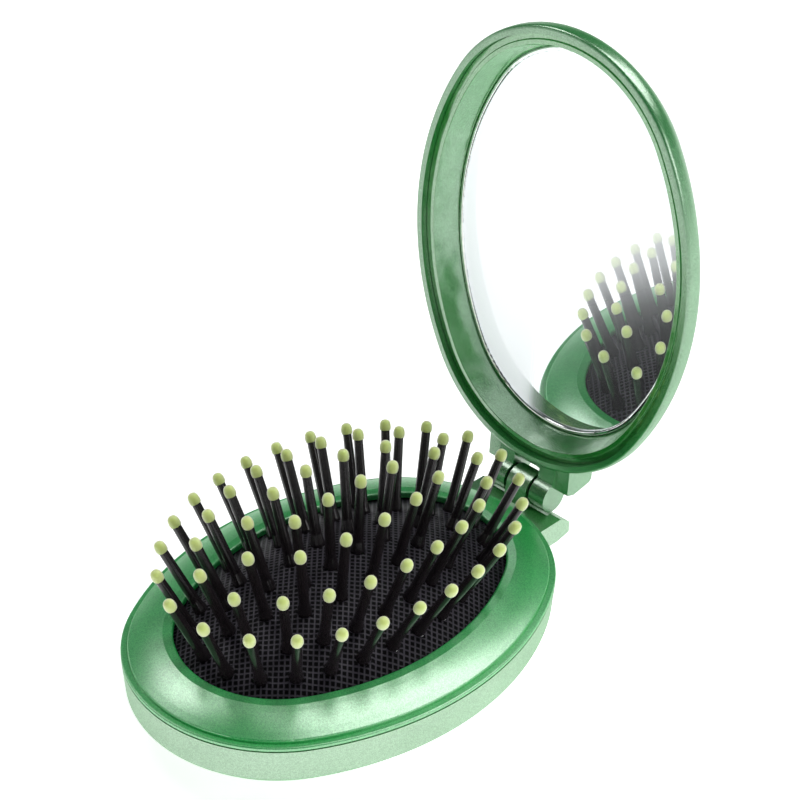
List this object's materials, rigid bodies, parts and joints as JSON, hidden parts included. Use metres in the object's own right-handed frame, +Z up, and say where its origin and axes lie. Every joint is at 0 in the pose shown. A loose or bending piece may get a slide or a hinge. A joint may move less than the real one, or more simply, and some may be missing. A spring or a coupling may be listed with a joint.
{
  "type": "styling brush with mirror",
  "caption": "Folding oval hair brush with ball-tipped pins on a domed rubber cushion and a hinged lid that holds a mirror.",
  "frame": {"origin": "middle of the oval case, on the surface that the foot ring stands on", "axes": "+X runs along the case towards the hinge, +Y across it, +Z up from the surface"},
  "size_m": [0.1105, 0.0674, 0.1127],
  "materials": {
    "green_case": "pearl metallic green",
    "green_ring": "pearl metallic green",
    "inner_plastic": "black moulded plastic",
    "steel": "plain steel",
    "black_rubber": "black rubber with a fine square grid",
    "black_nylon": "glossy black nylon",
    "yellow_green_tips": "glossy dipped resin",
    "dark_washer": "dark elastic washer",
    "chrome_bead": "bright plated bead",
    "mirror": "silvered glass",
    "foam_tape": "thin foam tape"
  },
  "bodies": {
    "base": {"base_shell": "green_case", "base_top_ring": "green_ring", "cushion_clamp_ring": "inner_plastic", "base_screws": "steel", "cushion": "black_rubber"},
    "lid": {"hinge_pin": "steel", "hinge_washers": "dark_washer", "lid_shell": "green_case", "lid_inner_frame": "green_ring", "mirror_bezel": "chrome_bead", "mirror_glass": "mirror", "mirror_tape": "foam_tape"},
    "outer_pins": {"pins_outer": "black_nylon", "pin_tips_outer": "yellow_green_tips"},
    "middle_pins": {"pins_middle": "black_nylon", "pin_tips_middle": "yellow_green_tips"},
    "inner_pins": {"pins_inner": "black_nylon", "pin_tips_inner": "yellow_green_tips"},
    "centre_pins": {"pins_centre": "black_nylon", "pin_tips_centre": "yellow_green_tips", "thumb_plate": "inner_plastic"}
  },
  "joints": [
    {"name": "lid_hinge", "type": "hinge", "parent": "base", "child": "lid", "pos_m": [0.051, 0, 0.01655], "axis": [0, 1, 0], "range_deg": [-92.25, 0], "deforming": ["cushion"]},
    {"name": "outer_pins_press", "type": "slide", "parent": "base", "child": "outer_pins", "axis": [0, 0, 1], "range_m": [-0.0123, 0], "deforming": ["pins_outer", "pin_tips_outer"]},
    {"name": "middle_pins_press", "type": "slide", "parent": "base", "child": "middle_pins", "axis": [0, 0, 1], "range_m": [-0.0151, 0]},
    {"name": "inner_pins_press", "type": "slide", "parent": "base", "child": "inner_pins", "axis": [0, 0, 1], "range_m": [-0.0181, 0]},
    {"name": "centre_pins_press", "type": "slide", "parent": "base", "child": "centre_pins", "axis": [0, 0, 1], "range_m": [-0.0192, 0]}
  ],
  "couplings": [
    {"joint": "outer_pins_press", "follows": "lid_hinge", "m_per_rad": 0.0076332},
    {"joint": "middle_pins_press", "follows": "lid_hinge", "m_per_rad": 0.0093723},
    {"joint": "inner_pins_press", "follows": "lid_hinge", "m_per_rad": 0.011236},
    {"joint": "centre_pins_press", "follows": "lid_hinge", "m_per_rad": 0.011919}
  ]
}
